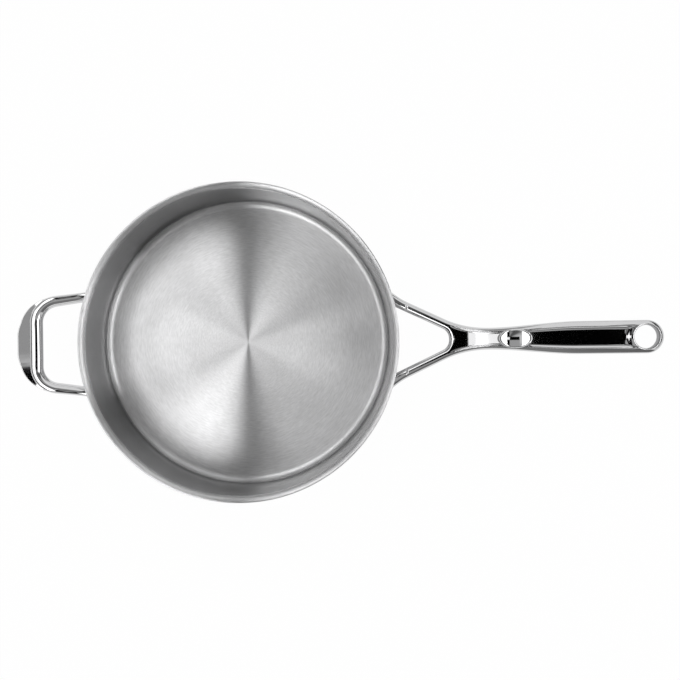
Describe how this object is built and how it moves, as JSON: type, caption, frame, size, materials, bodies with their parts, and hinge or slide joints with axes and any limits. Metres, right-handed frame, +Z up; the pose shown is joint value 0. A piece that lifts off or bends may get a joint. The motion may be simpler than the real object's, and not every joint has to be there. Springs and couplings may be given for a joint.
{
  "type": "saute pan",
  "caption": "Stainless saute pan: straight-walled round vessel with a flared lip and sealed base, forked cast long handle with lid rest and hanging eye, and a looped helper handle.",
  "frame": {"origin": "centre of the flat underside of the base", "axes": "+X along the long handle, +Z up out of the pan's mouth, +Y to the left of the long handle seen from the pan"},
  "size_m": [0.5744, 0.291, 0.1154],
  "materials": {
    "brushed_steel_vessel": "brushed",
    "polished_steel": "polished",
    "magnetic_steel": "brushed",
    "weld_steel": "polished",
    "copper_core": "rolled",
    "bond_foil": "rolled"
  },
  "bodies": {
    "root": {"vessel": "brushed_steel_vessel", "upper_bond_foil": "bond_foil", "copper_disc": "copper_core", "lower_bond_foil": "bond_foil", "induction_plate": "magnetic_steel", "base_cap": "magnetic_steel", "base_seam_weld": "weld_steel", "long_handle": "polished_steel", "lid_rest": "polished_steel", "long_handle_weld_left": "weld_steel", "long_handle_weld_right": "weld_steel", "helper_handle": "polished_steel", "helper_weld_left": "weld_steel", "helper_weld_right": "weld_steel"}
  },
  "joints": []
}
